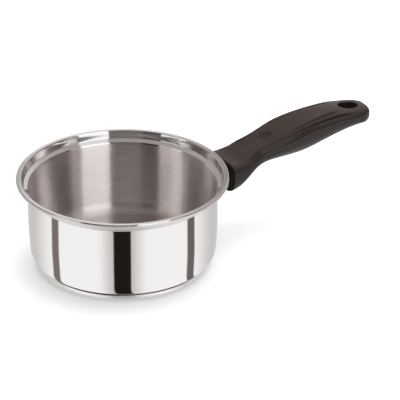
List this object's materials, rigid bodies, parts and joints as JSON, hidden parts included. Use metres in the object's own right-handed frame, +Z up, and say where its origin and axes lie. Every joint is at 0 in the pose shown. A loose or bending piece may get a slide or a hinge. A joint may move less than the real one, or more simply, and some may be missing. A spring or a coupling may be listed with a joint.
{
  "type": "milk pan",
  "caption": "Small steel milk pan with a stepped pouring rim, a capsule base and one long dark moulded handle with a hanging hole.",
  "frame": {"origin": "centre of the base's underside, on the vessel's axis", "axes": "+Z up along the vessel's axis, +X from the axis out along the handle"},
  "size_m": [0.2927, 0.1584, 0.0812],
  "materials": {
    "vessel_steel": "polished outside, circularly brushed inside",
    "cap_steel": "polished",
    "core_aluminium": "turned",
    "bracket_steel": "satin",
    "phenolic": "semi-gloss moulded phenolic",
    "brass": "machined",
    "screw_steel": "zinc plated"
  },
  "bodies": {
    "root": {"pan_body": "vessel_steel", "base_core": "core_aluminium", "base_cap": "cap_steel", "handle_bracket": "bracket_steel", "handle": "phenolic", "handle_insert": "brass", "handle_screw": "screw_steel", "spring_washer": "screw_steel"}
  },
  "joints": []
}
